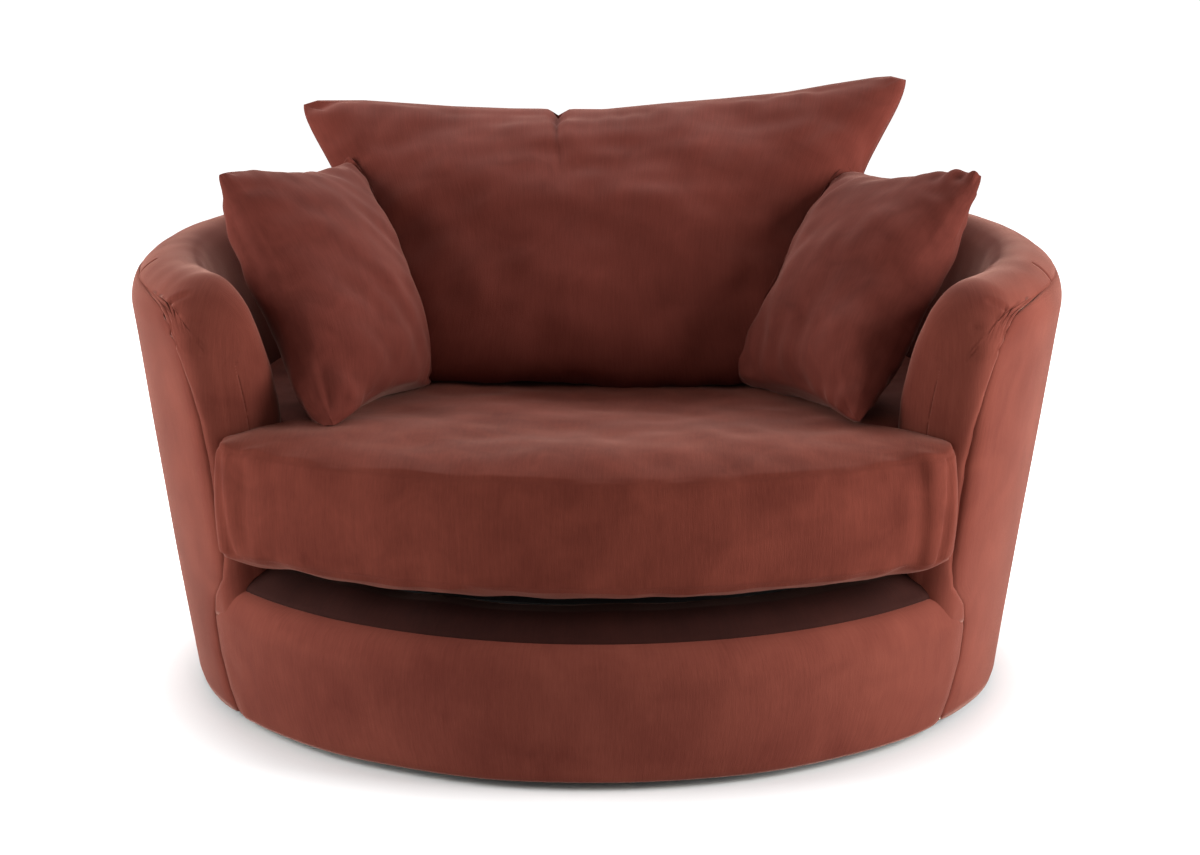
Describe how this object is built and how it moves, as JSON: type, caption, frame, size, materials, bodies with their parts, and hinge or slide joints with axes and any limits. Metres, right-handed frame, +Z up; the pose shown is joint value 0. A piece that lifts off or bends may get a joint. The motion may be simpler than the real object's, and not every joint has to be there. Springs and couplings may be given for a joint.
{
  "type": "swivel cuddle chair",
  "caption": "Wide round tub armchair on a hidden swivel base, with a thick boxed seat cushion, a large loose back cushion and small scatter cushions.",
  "frame": {"origin": "on the floor, under the swivel axis, at the centre of the base's foot", "axes": "+Z up along the swivel axis, the sitter faces -Y, +X runs to the sitter's left arm, which is on the right of the picture"},
  "size_m": [1.2988, 1.2408, 0.7954],
  "materials": {
    "tub_velvet": "soft short-pile velvet with a faint upright weave",
    "base_velvet": "soft short-pile velvet with a faint upright weave",
    "seat_velvet": "soft short-pile velvet, brushed in patches",
    "back_velvet": "soft short-pile velvet with a faint upright weave",
    "scatter_velvet": "soft short-pile velvet, brushed in patches",
    "platform_lining": "dark plain lining cloth",
    "dust_lining": "black non-woven cloth",
    "felt": "needled felt",
    "fibre": "white polyester fibre",
    "foam": "open-cell foam",
    "hardboard": "smooth brown hardboard",
    "plywood": "raw plywood",
    "softwood": "planed softwood",
    "chipboard": "black-faced chipboard",
    "zinc_steel": "dull zinc plate",
    "spring_steel": "dark spring wire",
    "bearing_steel": "polished steel",
    "black_plastic": "moulded, matte",
    "white_plastic": "moulded, matte"
  },
  "bodies": {
    "floor_base": {"base_board": "chipboard", "floor_glides": "black_plastic", "centre_foot": "black_plastic", "lower_race_plate": "zinc_steel", "lower_plate_bolts": "zinc_steel"},
    "bearing_cage": {"ball_cage": "white_plastic", "bearing_balls": "bearing_steel"},
    "chair_body": {"outside_cover": "tub_velvet", "inside_cover": "tub_velvet", "arm_front_foam_right": "foam", "arm_front_foam_left": "foam", "outer_wadding": "fibre", "top_roll_foam": "foam", "inner_wall_foam": "foam", "outer_wall_board": "hardboard", "inner_wall_board": "hardboard", "top_ring": "plywood", "wall_posts": "softwood", "arm_panel_right": "plywood", "arm_panel_left": "plywood", "lower_ring": "plywood", "dust_cover": "dust_lining", "seat_ring": "plywood", "seat_ring_legs": "softwood", "long_rails": "softwood", "cross_rails": "softwood", "upper_race_plate": "zinc_steel", "upper_plate_bolts": "zinc_steel", "front_board": "hardboard", "front_foam": "foam", "front_panel_cover": "base_velvet", "front_lip_cover": "base_velvet", "sinuous_springs": "spring_steel", "spring_clips": "black_plastic", "platform_felt": "felt", "platform_cloth": "platform_lining"},
    "seat_cushion": {"seat_cushion_cover": "seat_velvet", "seat_cushion_filling": "foam"},
    "back_cushion": {"back_cushion_cover": "back_velvet", "back_cushion_filling": "fibre"},
    "scatter_left": {"scatter_cushion_left_cover": "scatter_velvet", "scatter_cushion_left_filling": "fibre"},
    "scatter_right": {"scatter_cushion_right_cover": "scatter_velvet", "scatter_cushion_right_filling": "fibre"}
  },
  "joints": [
    {"name": "swivel", "type": "hinge", "parent": "floor_base", "child": "chair_body", "pos_m": [0, 0, 0.03], "axis": [0, 0, 1], "continuous": true},
    {"name": "cage_turn", "type": "hinge", "parent": "floor_base", "child": "bearing_cage", "pos_m": [0, 0, 0.03], "axis": [0, 0, 1], "continuous": true},
    {"name": "seat_cushion_lift", "type": "slide", "parent": "chair_body", "child": "seat_cushion", "axis": [0, 0, 1], "range_m": [0, 0.4]},
    {"name": "back_cushion_lift", "type": "slide", "parent": "seat_cushion", "child": "back_cushion", "axis": [0, 0, 1], "range_m": [0, 0.3]},
    {"name": "scatter_left_lift", "type": "slide", "parent": "back_cushion", "child": "scatter_left", "axis": [0.2996, -0.6991, 0.6492], "range_m": [0, 0.25]},
    {"name": "scatter_right_lift", "type": "slide", "parent": "back_cushion", "child": "scatter_right", "axis": [-0.2996, -0.6991, 0.6492], "range_m": [0, 0.25]}
  ],
  "couplings": [
    {"joint": "cage_turn", "follows": "swivel", "ratio": 0.5}
  ]
}
